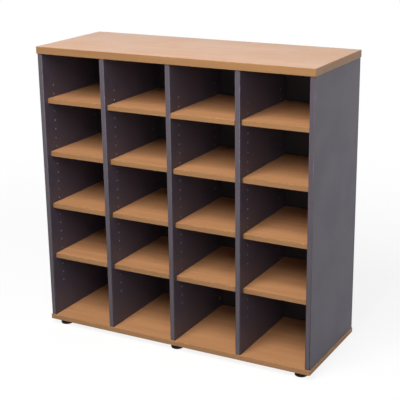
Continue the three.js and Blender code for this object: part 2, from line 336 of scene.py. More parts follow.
# %% Charcoal, back and chipboard finishes
CHARCOAL_DARK, CHARCOAL_LIGHT = paint(66, 61, 72), paint(79, 72, 85)
CHARCOAL_BAND_DARK, CHARCOAL_BAND_LIGHT = paint(70, 63, 70), paint(78, 71, 79)
CHARCOAL_RUBBED, CHARCOAL_RUBBED_SHARE = paint(112, 106, 114), 0.4
BACK_DARK, BACK_LIGHT = paint(42, 37, 41), paint(50, 45, 49)
CHIP_DARK, CHIP_PALE, CHIPS_PER_METRE = paint(116, 104, 94), paint(164, 148, 132), 420.0
SCUFF_DULLS = 0.06


def make_charcoal(name, dark, light, smooth, rough, bump):
    """Speckled grey print with a pressed pebble."""
    finish, tree, shader, place = start_finish(name)
    speckle = noise(tree, place, scale=700)
    drift = noise(tree, place, scale=4.0, detail=3.0)
    tone = times_plus(tree, drift, factor=0.25, added=speckle)
    ground = blend(tree, spread(tree, tone, low=0.4, high=0.85), dark, light)
    marks = use(tree, handling, Vector=place)
    wire_board_colour(tree, shader, place, ground, CHARCOAL_RUBBED, CHARCOAL_RUBBED_SHARE)
    gloss = spread(tree, marks["Smudge"], low=0, high=1, to_low=smooth, to_high=rough)
    scuffed = times_plus(tree, marks["Scuff"], factor=SCUFF_DULLS, added=gloss)
    tree.links.new(scuffed, shader.inputs["Roughness"])
    dents = use(tree, pebble, Vector=place)["Height"]
    wire_bump(tree, shader, dents, strength=bump, distance=PRESS_DEPTH)
    return finish


def make_chipboard():
    """Raw board inside a drilled hole: chips of wood in resin."""
    finish, tree, shader, place = start_finish("raw_chipboard")
    chips = put(tree, "TexVoronoi", {"Vector": place, "Scale": CHIPS_PER_METRE}).outputs["Color"]
    shade = put(tree, "SeparateColor", {"Color": chips}).outputs["Red"]
    tree.links.new(blend(tree, shade, CHIP_DARK, CHIP_PALE), shader.inputs["Base Color"])
    shader.inputs["Roughness"].default_value = 0.9
    wire_bump(tree, shader, shade, strength=0.4, distance=0.3 * MM)
    return finish


charcoal_face = make_charcoal(
    "charcoal_face", CHARCOAL_DARK, CHARCOAL_LIGHT, smooth=0.46, rough=0.52, bump=0.18
)
charcoal_band = make_charcoal(
    "charcoal_band", CHARCOAL_BAND_DARK, CHARCOAL_BAND_LIGHT, smooth=0.36, rough=0.42, bump=0.06
)
back_face = make_charcoal("back_face", BACK_DARK, BACK_LIGHT, smooth=0.45, rough=0.55, bump=0.18)
chipboard = make_chipboard()
print("board finishes:", charcoal_face.name, charcoal_band.name, back_face.name, chipboard.name)

# %% [markdown]
# ## Zinc and black plastic
#
# The pins, bolts, stems and inserts are zinc-plated steel, and the cams are cast zinc: a grey metal whose
# gloss is uneven, with fine turning lines. The foot pads are moulded black plastic with a slight spark-eroded
# texture, and dust on it from the floor.

# %% Metal and plastic finishes
ZINC_DULL, ZINC_BRIGHT = paint(158, 158, 154), paint(196, 196, 190)
PLASTIC_BLACK, PLASTIC_DUSTY, MOST_DUST = paint(10, 10, 11), paint(30, 29, 28), 0.5
FINE_RELIEF = 0.1 * MM


def make_zinc():
    """Plated steel: cloudy gloss and fine lines."""
    finish, tree, shader, place = start_finish("zinc_plate")
    clouds = noise(tree, place, scale=220, detail=3.0)
    lines = noise(tree, place, scale=2500, stretch=(1, 1, 0.2), detail=1.0)
    tree.links.new(blend(tree, clouds, ZINC_DULL, ZINC_BRIGHT), shader.inputs["Base Color"])
    shader.inputs["Metallic"].default_value = 1.0
    gloss = spread(tree, clouds, low=0.2, high=0.8, to_low=0.30, to_high=0.46)
    tree.links.new(gloss, shader.inputs["Roughness"])
    wire_bump(tree, shader, lines, strength=0.1, distance=FINE_RELIEF)
    return finish


def make_black_plastic():
    """Moulded plastic with a fine texture and a trace of dust."""
    finish, tree, shader, place = start_finish("black_plastic")
    texture = noise(tree, place, scale=1800)
    patches = noise(tree, place, scale=70, detail=5.0, roughness=0.7)
    dust = spread(tree, patches, low=0.5, high=0.8, to_high=MOST_DUST)
    tree.links.new(blend(tree, dust, PLASTIC_BLACK, PLASTIC_DUSTY), shader.inputs["Base Color"])
    gloss = spread(tree, dust, low=0, high=MOST_DUST, to_low=0.42, to_high=0.7)
    tree.links.new(gloss, shader.inputs["Roughness"])
    wire_bump(tree, shader, texture, strength=0.15, distance=FINE_RELIEF)
    return finish


zinc_plate = make_zinc()
black_plastic = make_black_plastic()
print("fitting finishes:", zinc_plate.name, black_plastic.name)

# %% [markdown]
# ## How a board is made
#
# A real board is a flat slab with a strip of band glued round it, and the band's corners are rounded by a
# cutter. In Blender that is a block whose edges are bevelled: the bevel's own faces are the rounded band.
# Only those faces are shaded smooth, so the large flats stay flat. They are also marked with a number, which
# the rubbed-corner effect reads. Where band and face meet there is a hairline joint, made by insetting the
# face twice: down and up again.

# %% Blocks, rounded edges and band joints
ROUND_STEPS = 4
JOINT_WIDTH, JOINT_DEPTH = 0.25 * MM, 0.2 * MM
STRAIGHT, MOSTLY = 0.999, 0.5


def block(low, high):
    """A plain block between two corners."""
    bm = bmesh.new()
    bm.faces.layers.float.new(ARRIS)
    bmesh.ops.create_cube(bm, size=1)
    bmesh.ops.scale(bm, verts=bm.verts, vec=high - low)
    bmesh.ops.translate(bm, verts=bm.verts, vec=(low + high) / 2)
    return bm


def edges_along(bm, axis, test=lambda middle: True):
    """The edges that run along one axis and whose middle passes a test."""
    found = []
    for edge in bm.edges:
        start, end = (vert.co for vert in edge.verts)
        run = end - start
        if abs(run[axis]) > STRAIGHT * run.length and test((start + end) / 2):
            found.append(edge)
    return found


def round_edges(bm, edges, radius, steps=ROUND_STEPS):
    """Rounds edges off, and marks the new faces as arris."""
    made = bmesh.ops.bevel(
        bm, geom=edges, offset=radius, segments=steps, profile=0.5, affect="EDGES", material=-1
    )
    for face in made["faces"]:
        face.smooth = True
        face[bm.faces.layers.float[ARRIS]] = 1.0


def flat_faces(bm, axis):
    """The faces that look straight along one axis, either way."""
    return [face for face in bm.faces if abs(face.normal[axis]) > STRAIGHT and not face.smooth]


def cut_joint(bm, faces):
    """A hairline joint round each face, where the band meets it."""
    for face in faces:
        for depth in (-JOINT_DEPTH, JOINT_DEPTH):
            bmesh.ops.inset_region(bm, faces=[face], thickness=JOINT_WIDTH, depth=depth, use_even_offset=True)


# %% [markdown]
# ## From a mesh to a piece
#
# A bmesh is only a working copy. To show, it is written to a mesh with its finishes, and the mesh is put in
# an object. The object stays at the origin, with its place in its mesh, so that all finishes read the same
# coordinates. Two small steps follow where a piece needs them: smooth shading that stops at sharp edges, and
# the hiding of the solids that the piece stands for, whose body then carries it.

# %% Make a piece of a mesh
BLUNT, CRISP = 40, 30


def to_piece(bm, name, finishes):
    """An object made of a bmesh, with its finishes."""
    mesh = bpy.data.meshes.new(name)
    bm.to_mesh(mesh)
    bm.free()
    for finish in finishes:
        mesh.materials.append(finish)
    return show(name, mesh)


def soften(piece, sharp):
    """Shades a piece smooth, apart from the edges that turn by more than an angle, in degrees."""
    piece.data.shade_smooth()
    piece.data.set_sharp_from_angle(angle=math.radians(sharp))


def settle(piece, slot, *nodes):
    """The piece stands for CAD nodes, and rides on the body that carries them."""
    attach(piece, frame["nodes"][nodes[0]]["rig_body"])
    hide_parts(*nodes)
    return piece


# %% [markdown]
# ## Sawing and drilling
#
# Grooves, holes and pockets could be modelled face by face, but a workshop saws and drills them, and a
# Boolean modifier does the same: it takes one mesh away from another. Many cuts are gathered in one cutter,
# which is quicker than a modifier for each. The cutter's own finish passes to the new walls, and that is how
# a hole gets raw board inside. The modifier is applied at once, and the tiny edges that it leaves are merged.

# %% Saw shapes out
CRUMB = 0.001 * MM
BORE_SIDES = 20


def sweep_crumbs(mesh):
    """Merges the tiny edges that a saw can leave."""
    bm = bmesh.new()
    bm.from_mesh(mesh)
    bmesh.ops.dissolve_degenerate(bm, dist=CRUMB, edges=bm.edges)
    bm.to_mesh(mesh)
    bm.free()


def cut_away(piece, cutter_bm, lining):
    """Takes a shape out of a piece. The new walls get the lining."""
    cutter = to_piece(cutter_bm, "cutter", [lining])
    saw = piece.modifiers.new("saw", "BOOLEAN")
    saw.operation = "DIFFERENCE"
    saw.solver = "EXACT"
    saw.material_mode = "TRANSFER"
    saw.object = cutter
    evaluated = piece.evaluated_get(bpy.context.evaluated_depsgraph_get())
    whole = piece.data
    piece.data = bpy.data.meshes.new_from_object(evaluated)
    piece.modifiers.clear()
    cutter_mesh = cutter.data
    bpy.data.objects.remove(cutter)
    bpy.data.meshes.remove(cutter_mesh)
    bpy.data.meshes.remove(whole)
    piece.data.name = piece.name
    sweep_crumbs(piece.data)


def add_block(bm, low, high):
    """Adds a block to a cutter."""
    matrix = Matrix.Translation((low + high) / 2) @ Matrix.Diagonal((*(high - low), 1))
    bmesh.ops.create_cube(bm, size=1, matrix=matrix)


def cut_block(piece, low, high, lining):
    """Takes one block out of a piece."""
    cutter = bmesh.new()
    add_block(cutter, low, high)
    cut_away(piece, cutter, lining)


def add_rod(bm, radius, start, end, sides=BORE_SIDES):
    """Adds a straight rod between two points to a mesh."""
    run = end - start
    turn = run.to_track_quat("Z", "Y").to_matrix().to_4x4()
    matrix = Matrix.Translation((start + end) / 2) @ turn
    bmesh.ops.create_cone(
        bm, cap_ends=True, segments=sides, radius1=radius, radius2=radius, depth=run.length, matrix=matrix
    )


def add_post(bm, radius, centre, low_z, high_z, sides=BORE_SIDES):
    """Adds an upright rod between two heights to a mesh."""
    add_rod(bm, radius, Vector((centre.x, centre.y, low_z)), Vector((centre.x, centre.y, high_z)), sides)


# %% [markdown]
# ## Top and base panels
#
# The top is a thick beech board and the base a thinner one, and both stand a little proud of the uprights
# all round. Each has a band on all four edges, with small rounded corners as an edge-banding machine leaves
# them. The back panel stands in a groove in both, and the base is bored for the feet and the fittings, so
# those shapes are sawn out. A cutter leaves some play round what goes in, and always reaches past the face
# that it breaks out of, because two faces in one plane confuse a Boolean.

# %% Make the panels
PANEL_CORNER, PANEL_ARRIS = 3 * MM, 2 * MM
GROOVE_DEPTH = 8 * MM
PLAY, PAST = 0.3 * MM, 1 * MM
INSERT_BORE, BOLT_BORE = 6.3 * MM, 3.3 * MM
FOOT_PLACES = [f"{end}_{side}" for end in ("front", "rear") for side in ("left", "middle", "right")]
UPRIGHTS = ["left_side", "divider_1", "divider_2", "divider_3", "right_side"]
FACE, BAND, END_BAND = 0, 1, 2


def beech_piece(bm, name, number):
    """A beech board of a rounded block: its faces, the joint round them and its own stretch of print."""
    caps = flat_faces(bm, Z)
    for cap in caps:
        cap.material_index = FACE
    cut_joint(bm, caps)
    piece = to_piece(bm, name, [beech_face, beech_band, beech_end_band])
    layer = piece.data.attributes.new(BOARD_NUMBER, "FLOAT", "FACE")
    layer.data.foreach_set("value", [number] * len(piece.data.polygons))
    return piece


def banded_panel(name, node, number):
    """A panel with a rounded band on all four edges."""
    bm = block(*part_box(node))
    round_edges(bm, edges_along(bm, Z), PANEL_CORNER)
    round_edges(bm, [edge for cap in flat_faces(bm, Z) for edge in cap.edges], PANEL_ARRIS)
    for face in bm.faces:
        face.material_index = END_BAND if abs(face.normal.x) > abs(face.normal.y) else BAND
    return beech_piece(bm, name, number)


def middle_of(node):
    """The middle of a solid's box."""
    low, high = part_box(node)
    return (low + high) / 2


def back_groove(bm, low_z, high_z):
    """Adds the back panel's groove, between two heights, to a cutter."""
    low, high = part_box("back_panel")
    play = Vector((PLAY, PLAY, 0))
    low, high = low - play, high + play
    add_block(bm, Vector((low.x, low.y, low_z)), Vector((high.x, high.y, high_z)))


top_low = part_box("top_panel")[0]
base_low, base_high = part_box("base_panel")

top_board = banded_panel("top_board", "top_panel", 0)
groove = bmesh.new()
back_groove(groove, top_low.z - PAST, top_low.z + GROOVE_DEPTH)
cut_away(top_board, groove, chipboard)
settle(top_board, "beech_board", "top_panel")

base_board = banded_panel("base_board", "base_panel", 1)
bores = bmesh.new()
back_groove(bores, base_high.z - GROOVE_DEPTH, base_high.z + PAST)
for upright in UPRIGHTS:
    bolt = f"cam_bolt_{upright}"
    add_post(bores, BOLT_BORE, middle_of(bolt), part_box(bolt)[0].z - PLAY, base_high.z + PAST)
for place in FOOT_PLACES:
    stem = f"foot_stem_{place}"
    add_post(bores, INSERT_BORE, middle_of(stem), base_low.z - PAST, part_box(stem)[1].z + PLAY)
cut_away(base_board, bores, chipboard)
settle(base_board, "beech_board", "base_panel")
print("panels:", len(top_board.data.polygons), "and", len(base_board.data.polygons), "faces")

# %% [markdown]
# ## Uprights and their rows of holes
#
# The sides and dividers are charcoal boards with two rows of small holes, 32 mm apart, that take the shelf
# pins. The holes are blind in the sides and go right through the dividers. First come the sizes, and where
# each upright, its holes and its cam lie. The box of an upright's solid also holds its pins, so the faces of
# the board are counted from the board's own thickness.

# %% Where the uprights and their holes lie
BOARD = 18 * MM
HOLE_RADIUS, HOLE_DEPTH, HOLE_PITCH, HOLE_COUNT = 2.5 * MM, 12 * MM, 32 * MM, 24
LOWEST_HOLE = 120 * MM
FRONT_ROW, REAR_ROW = 57.5 * MM, 51.5 * MM
SEAT = 0.2 * MM

foot_z, head_z = base_high.z + SEAT, top_low.z - SEAT
back_low, back_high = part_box("back_panel")


def upright_span(node):
    """The left and right face of an upright, without its pins."""
    low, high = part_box(node)
    if node == "left_side":
        return low.x, low.x + BOARD
    if node == "right_side":
        return high.x - BOARD, high.x
    middle = (low.x + high.x) / 2
    return middle - BOARD / 2, middle + BOARD / 2


def face_at(node, way):
    """Where an upright's face lies along X: its right one if way is 1, and its left one if it is -1."""
    return upright_span(node)[1 if way > 0 else 0]


def open_faces(node):
    """The ways along X in which an upright looks into a pigeonhole."""
    return {"left_side": [1], "right_side": [-1]}.get(node, [-1, 1])


def hole_rows(node):
    """Where the two rows of holes lie, from front to rear."""
    return [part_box(node)[0].y + FRONT_ROW, back_low.y - REAR_ROW]


def cam_way(node):
    """The way along X that an upright's cam faces: 1 to the right, -1 to the left."""
    left, right = upright_span(node)
    return 1 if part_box(f"cam_{node}")[1].x > (left + right) / 2 + BOARD / 4 else -1


print("uprights stand from", round(foot_z, 4), "to", round(head_z, 4), "m")

# %% [markdown]
# A drilled hole is a turned shape, so its cutter is an outline that is spun round an axis. It has a slight
# flare at the mouth, where the drill has lifted the face. It is spun once and copied to every place in both
# rows, because a copy is quicker to make than another spin.

# %% Make one hole and copy it
HOLE_FLARE = 0.45 * MM
HOLE_STEPS = 20


def add_outline(bm, points):
    """Adds points to a mesh, joined in a row by edges."""
    verts = [bm.verts.new(point) for point in points]
    return verts + [bm.edges.new(pair) for pair in zip(verts, verts[1:])]


def spun(points, centre, axis, steps):
    """A closed turned shape. Its outline starts and ends on the axis, or is a loop beside it."""
    bm = bmesh.new()
    outline = add_outline(bm, points)
    bmesh.ops.spin(bm, geom=outline, cent=centre, axis=axis, angle=math.tau, steps=steps, use_merge=True)
    bmesh.ops.remove_doubles(bm, verts=bm.verts, dist=CRUMB)
    bmesh.ops.recalc_face_normals(bm, faces=bm.faces)
    return bm


def copy_along(bm, source, offsets):
    """Adds a copy of a small mesh at each offset."""
    mesh = bpy.data.meshes.new("stamp")
    source.to_mesh(mesh)
    source.free()
    for offset in offsets:
        before = len(bm.verts)
        bm.from_mesh(mesh)
        bm.verts.ensure_lookup_table()
        bmesh.ops.translate(bm, verts=bm.verts[before:], vec=offset)
    bpy.data.meshes.remove(mesh)


def hole_cutter(node):
    """One hole, along X at the height and depth 0, flared where it breaks out of a face."""
    flare = HOLE_RADIUS + HOLE_FLARE
    ends = []
    for way in (-1, 1):
        face_x, blind_x = face_at(node, way), face_at(node, -way) + way * HOLE_DEPTH
        out_x = face_x + way * PAST
        if way in open_faces(node):
            mouth = [(out_x, 0), (out_x, flare + PAST), (face_x, flare)]
            ends.append(mouth + [(face_x - way * HOLE_FLARE, HOLE_RADIUS)])
        else:
            ends.append([(blind_x, 0), (blind_x, HOLE_RADIUS)])
    outline = ends[0] + ends[1][::-1]
    points = [Vector((x, 0, radius)) for x, radius in outline]
    return spun(points, (0, 0, 0), (1, 0, 0), HOLE_STEPS)


# %% [markdown]
# Each upright starts as a block, and its front edge gets the broadest rounding. The holes and the pocket for
# the cam are cut in a first pass. The bore for the bolt's head runs into the pocket, so it goes in a second
# pass, together with the groove for the back in the two sides.

# %% Make the uprights
FRONT_ARRIS, REAR_ARRIS = 2.5 * MM, 1 * MM
CAM_POCKET, CAM_DEPTH, POCKET_SIDES = 7.8 * MM, 13.3 * MM, 32
HEAD_BORE = 3.8 * MM


def make_upright(node):
    """One charcoal board, with its holes, its cam pocket and, on a side, the groove for the back."""
    left, right = upright_span(node)
    box_low, box_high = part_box(node)
    bm = block(Vector((left, box_low.y, foot_z)), Vector((right, box_high.y, head_z)))
    round_edges(bm, edges_along(bm, Z, lambda middle: middle.y < 0), FRONT_ARRIS)
    round_edges(bm, edges_along(bm, Z, lambda middle: middle.y > box_high.y - REAR_ARRIS), REAR_ARRIS)
    for face in bm.faces:
        face.material_index = BAND if face.smooth or abs(face.normal.y) > MOSTLY else FACE
    cut_joint(bm, flat_faces(bm, X))
    piece = to_piece(bm, f"{node}_board", [charcoal_face, charcoal_band])

    drilled = bmesh.new()
    levels = [foot_z + LOWEST_HOLE + HOLE_PITCH * count for count in range(HOLE_COUNT)]
    copy_along(drilled, hole_cutter(node), [Vector((0, y, z)) for y in hole_rows(node) for z in levels])
    cam, way = middle_of(f"cam_{node}"), cam_way(node)
    face_x = face_at(node, way)
    mouth = Vector((face_x + way * PAST, cam.y, cam.z))
    add_rod(drilled, CAM_POCKET, mouth, Vector((face_x - way * CAM_DEPTH, cam.y, cam.z)), POCKET_SIDES)
    cut_away(piece, drilled, chipboard)

    bored = bmesh.new()
    add_post(bored, HEAD_BORE, Vector(((left + right) / 2, cam.y, 0)), foot_z - PAST, cam.z)
    if len(open_faces(node)) == 1:
        inwards = open_faces(node)[0]
        inner = face_at(node, inwards)
        groove_x = sorted([inner + inwards * PAST, inner - inwards * GROOVE_DEPTH])
        low = Vector((groove_x[0], back_low.y - PLAY, foot_z - PAST))
        high = Vector((groove_x[1], back_high.y + PLAY, head_z + PAST))
        add_block(bored, low, high)
    cut_away(piece, bored, chipboard)
    return settle(piece, "charcoal_board", node)


for upright in UPRIGHTS:
    made = make_upright(upright)
    print(made.name, len(made.data.polygons), "faces")

# %% [markdown]
# ## Back panel
#
# The back is a thin dark board that stands in the grooves. Its solid already has the right shape, so it
# keeps it and only gets a finish.

# %% Finish the back panel
def refinish(node, finish):
    """Gives a CAD node that is shown as it is a new material."""
    solid = frame["nodes"][node]
    solid.data.materials.clear()
    solid.data.materials.append(finish)


refinish("back_panel", back_face)
print("back panel:", [round(side, 4) for side in back_high - back_low], "m")

# %% [markdown]
# ## Loose shelves
#
# Sixteen equal shelves lie on the pins, pushed in by slightly different amounts. The front edge has a thick
# rounded band, and the other edges a thin one, so two roundings are used.

# %% Make the shelves
SHELF_ARRIS, THIN_ARRIS, THIN_STEPS = 2 * MM, 0.5 * MM, 2
NEARLY_SQUARE = math.radians(80)
shelves = sorted(node for node in frame["nodes"] if node.startswith("shelf_column"))


def make_shelf(node, number):
    """A beech shelf with a thick band in front."""
    low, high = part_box(node)
    bm = block(low, high)
    round_edges(bm, edges_along(bm, X, lambda middle: middle.y < low.y + THIN_ARRIS), SHELF_ARRIS)
    rest = [edge for edge in bm.edges if edge.calc_face_angle() > NEARLY_SQUARE]
    round_edges(bm, rest, THIN_ARRIS, THIN_STEPS)
    for face in bm.faces:
        face.material_index = END_BAND if abs(face.normal.x) > MOSTLY else BAND
    piece = beech_piece(bm, node.replace("shelf_", "shelf_board_"), number)
    return settle(piece, "beech_board", node)


for number, shelf in enumerate(shelves, start=2):
    make_shelf(shelf, number)
print("shelves:", len(shelves))

# %% [markdown]
# ## Shelf pins
#
# Each shelf lies on four steel pins: a shank in the hole, a thin collar against the board and a peg with a
# chamfered tip. It is a turned shape like a hole. One pin is made for each side that an upright faces, and is
# copied to the holes that carry a shelf.

# %% Make the pins
PIN_SHANK, PIN_COLLAR, PIN_REACH = 2.4 * MM, 3.6 * MM, 8 * MM
COLLAR_GAP, COLLAR_THICKNESS, PIN_TIP = 0.05 * MM, 0.7 * MM, 0.7 * MM
PIN_BURIED = 7 * MM
PIN_STEPS = 24
shelf_levels = sorted({round(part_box(shelf)[0].z, 6) for shelf in shelves})


def pin_outline(face_x, way):
    """A pin's outline from its buried end to its tip, along X."""
    outline = [
        (-PIN_BURIED, 0),
        (-PIN_BURIED, PIN_SHANK),
        (COLLAR_GAP, PIN_SHANK),
        (COLLAR_GAP, PIN_COLLAR),
        (COLLAR_THICKNESS, PIN_COLLAR),
        (COLLAR_THICKNESS, HOLE_RADIUS),
        (PIN_REACH - PIN_TIP, HOLE_RADIUS),
        (PIN_REACH, HOLE_RADIUS - PIN_TIP),
        (PIN_REACH, 0),
    ]
    return [Vector((face_x + way * reach, 0, radius)) for reach, radius in outline]


def make_pins(node):
    """All the pins of one upright."""
    pins = bmesh.new()
    places = [Vector((0, y, z - SEAT - HOLE_RADIUS)) for y in hole_rows(node) for z in shelf_levels]
    for way in open_faces(node):
        outline = pin_outline(face_at(node, way), way)
        copy_along(pins, spun(outline, (0, 0, 0), (1, 0, 0), PIN_STEPS), places)
    piece = to_piece(pins, f"shelf_pins_{node}", [zinc_plate])
    soften(piece, BLUNT)
    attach(piece, "carcass")
    return len(places) * len(open_faces(node))


print("pins:", sum(make_pins(node) for node in UPRIGHTS))

# %% [markdown]
# ## Cam fittings
#
# A cam is a die-cast drum, let into the face of the upright, that grips the head of a bolt when it is turned
# with a screwdriver. Only its round face shows: a rim, a sunk middle and a crossed slot. The bolt itself is
# hidden in the boards, and keeps its solid.

# %% Make the cams
CAM_RADIUS, CAM_RIM, CAM_CHAMFER, CAM_SUNK = 7.4 * MM, 1.1 * MM, 0.4 * MM, 0.5 * MM
CAM_WALL, CAM_PLATE = 2 * MM, 4.5 * MM
SLOT_LENGTH, SLOT_WIDTH, SLOT_DEPTH = 9 * MM, 1.7 * MM, 2 * MM
CAM_STEPS = 48


def make_cam(node):
    """A hollow drum with a slotted face."""
    low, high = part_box(f"cam_{node}")
    middle, way = middle_of(f"cam_{node}"), cam_way(node)
    outer, inner = (high.x, low.x) if way > 0 else (low.x, high.x)
    sunk_x, plate_x = outer - way * CAM_SUNK, outer - way * CAM_PLATE
    outline = [
        (sunk_x, 0),
        (sunk_x, CAM_RADIUS - CAM_RIM - CAM_CHAMFER),
        (outer, CAM_RADIUS - CAM_RIM),
        (outer, CAM_RADIUS - CAM_CHAMFER),
        (outer - way * CAM_CHAMFER, CAM_RADIUS),
        (inner, CAM_RADIUS),
        (inner, CAM_RADIUS - CAM_WALL),
        (plate_x, CAM_RADIUS - CAM_WALL),
        (plate_x, 0),
    ]
    points = [Vector((x, middle.y, middle.z + radius)) for x, radius in outline]
    bm = spun(points, middle, (1, 0, 0), CAM_STEPS)
    piece = to_piece(bm, f"cam_face_{node}", [zinc_plate])
    slot_x = sorted([outer + way * PAST, outer - way * (CAM_SUNK + SLOT_DEPTH)])
    for half in (Vector((0, SLOT_LENGTH, SLOT_WIDTH)) / 2, Vector((0, SLOT_WIDTH, SLOT_LENGTH)) / 2):
        low, high = (Vector((x, middle.y, middle.z)) for x in slot_x)
        cut_block(piece, low - half, high + half, zinc_plate)
    throat_x = sorted([plate_x, inner - way * PAST])
    low = Vector((throat_x[0], middle.y - HEAD_BORE, middle.z - CAM_RADIUS - PAST))
    high = Vector((throat_x[1], middle.y + HEAD_BORE, middle.z))
    cut_block(piece, low, high, zinc_plate)
    soften(piece, CRISP)
    settle(piece, "zinc", f"cam_{node}")
    refinish(f"cam_bolt_{node}", zinc_plate)


for upright in UPRIGHTS:
    make_cam(upright)
print("cams:", len(UPRIGHTS))

# %% [markdown]
# ## Levelling feet: the pads
#
# A foot is a moulded pad that swivels on the head of a threaded stem, which screws into a flanged insert in
# the base. The pad is a turned shape too. Its outline goes from the middle of the sole round the toe, a fine
# ridge and the sloped shoulder to the pocket for the stem's head.

# %% Shape a pad
FOOT_STEPS, ROUNDING_STEPS = 48, 4
SOLE_HOLLOW, SOLE_RING, SOLE_SLOPE = 0.6 * MM, 8 * MM, 1 * MM
PAD_TOE, SHOULDER_ROUND, SHOULDER_RADIUS = 2 * MM, 3.6 * MM, 14 * MM
RIDGE_OUT, RIDGE_HEIGHT, RIDGE_LIP, RIDGE_SHARE = 0.4 * MM, 1 * MM, 0.6 * MM, 0.66
NECK_HOLE, HEAD_POCKET, HEAD_POCKET_HEIGHT = 4.4 * MM, 7.5 * MM, 5.6 * MM


def arc(centre_x, centre_z, radius, start, end, steps):
    """Points on an arc, from one angle to another, in degrees."""
    angles = [math.radians(start + (end - start) * step / steps) for step in range(steps + 1)]
    return [(centre_x + radius * math.cos(a), centre_z + radius * math.sin(a)) for a in angles]


def turned_piece(name, outline, centre, steps, finish, sharp):
    """A piece turned about an upright axis, from points of radius and height."""
    points = [Vector((centre.x + radius, centre.y, height)) for radius, height in outline]
    bm = spun(points, Vector((centre.x, centre.y, 0)), (0, 0, 1), steps)
    piece = to_piece(bm, name, [finish])
    soften(piece, sharp)
    return piece


def make_pad(place):
    """The moulded pad."""
    low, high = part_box(f"foot_pad_{place}")
    stem_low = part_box(f"foot_stem_{place}")[0]
    radius = (high.x - low.x) / 2
    floor, cap = low.z, high.z
    hollow = floor + SOLE_HOLLOW
    ridge_z = floor + RIDGE_SHARE * (cap - floor)
    pocket_floor = stem_low.z - PLAY
    pocket_roof = pocket_floor + HEAD_POCKET_HEIGHT
    outline = [(0, hollow), (radius - SOLE_RING - SOLE_SLOPE, hollow), (radius - SOLE_RING, floor)]
    outline += arc(radius - PAD_TOE - RIDGE_OUT, floor + PAD_TOE, PAD_TOE, -90, 0, ROUNDING_STEPS)
    outline += [(radius - RIDGE_OUT, ridge_z - RIDGE_HEIGHT), (radius, ridge_z - RIDGE_LIP)]
    outline += [(radius, ridge_z)]
    outline += arc(SHOULDER_RADIUS, cap - SHOULDER_ROUND, SHOULDER_ROUND, 40, 90, ROUNDING_STEPS)
    outline += [(NECK_HOLE, cap), (NECK_HOLE, pocket_roof), (HEAD_POCKET, pocket_roof)]
    outline += [(HEAD_POCKET, pocket_floor), (0, pocket_floor)]
    centre = middle_of(f"foot_pad_{place}")
    piece = turned_piece(f"foot_pad_moulding_{place}", outline, centre, FOOT_STEPS, black_plastic, BLUNT)
    return settle(piece, "black_plastic", f"foot_pad_{place}")


# %% [markdown]
# ## Levelling feet: the stems
#
# A stem has a round head inside the pad, a short neck, a hexagon for a spanner and a thread. A bump could
# only suggest the thread, so it is a true screw: a small V is spun and lifted at the same time, and climbs
# one pitch for every turn.

# %% Shape a stem
STEM_RADIUS, STEM_NECK, STEM_HEAD, STEM_HEAD_HEIGHT = 4 * MM, 3.9 * MM, 7.2 * MM, 5 * MM
HEX_RADIUS, HEX_HEIGHT, HEX_ROUND, HEX_STEPS = 7.5 * MM, 3.7 * MM, 0.4 * MM, 2
HEAD_SIDES, NECK_SIDES, HEX_SIDES = 32, 24, 6
THREAD_PITCH, THREAD_DEPTH, THREAD_STEPS, THREAD_WELD = 1.25 * MM, 0.7 * MM, 20, 0.01 * MM


def screw_thread(centre, radius, low_z, high_z):
    """A threaded rod: a V spun about the axis while it climbs."""
    bm = bmesh.new()
    turns = math.ceil((high_z - low_z) / THREAD_PITCH) - 1
    root = radius - THREAD_DEPTH
    ridge = [(root, 0), (radius, THREAD_PITCH / 2), (root, THREAD_PITCH)]
    outline = add_outline(bm, [(centre.x + r, centre.y, low_z + z) for r, z in ridge])
    bmesh.ops.spin(
        bm, geom=outline, cent=(centre.x, centre.y, 0), axis=(0, 0, 1), angle=math.tau * turns,
        dvec=(0, 0, THREAD_PITCH / THREAD_STEPS), steps=turns * THREAD_STEPS,
    )
    bmesh.ops.remove_doubles(bm, verts=bm.verts, dist=THREAD_WELD)
    rim = [edge for edge in bm.edges if edge.is_boundary]
    bmesh.ops.holes_fill(bm, edges=rim, sides=0)
    bmesh.ops.recalc_face_normals(bm, faces=bm.faces)
    return bm


def make_stem(place):
    """The threaded stem, its hexagon and its head."""
    low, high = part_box(f"foot_stem_{place}")
    centre = middle_of(f"foot_stem_{place}")
    pad_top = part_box(f"foot_pad_{place}")[1].z
    head_top, hex_low = low.z + STEM_HEAD_HEIGHT, pad_top + PLAY
    bm = screw_thread(centre, STEM_RADIUS, pad_top, high.z)
    add_post(bm, STEM_HEAD, centre, low.z, head_top, HEAD_SIDES)
    add_post(bm, STEM_NECK, centre, head_top, pad_top + PAST, NECK_SIDES)
    hexagon = bmesh.new()
    add_post(hexagon, HEX_RADIUS, centre, hex_low, hex_low + HEX_HEIGHT, HEX_SIDES)
    rims = [edge for edge in hexagon.edges if edge.calc_face_angle() > NEARLY_SQUARE]
    bmesh.ops.bevel(
        hexagon, geom=rims, offset=HEX_ROUND, segments=HEX_STEPS, profile=0.5, affect="EDGES", material=-1
    )
    copy_along(bm, hexagon, [Vector()])
    piece = to_piece(bm, f"foot_stem_screw_{place}", [zinc_plate])
    soften(piece, CRISP)
    return settle(piece, "zinc", f"foot_stem_{place}")


# %% [markdown]
# ## Levelling feet: the inserts
#
# The insert is a sleeve with a flange, pressed into the base from below. The stem fills it, so a plain bore
# stands for its thread. It is a ring, and its outline is a closed loop that doesn't touch the axis. After it,
# all six feet are made.

# %% Shape an insert and make the feet
SLEEVE_BORE, SLEEVE_RADIUS, FLANGE_THICKNESS, FLANGE_LIP = 4.3 * MM, 6 * MM, 1.5 * MM, 0.4 * MM


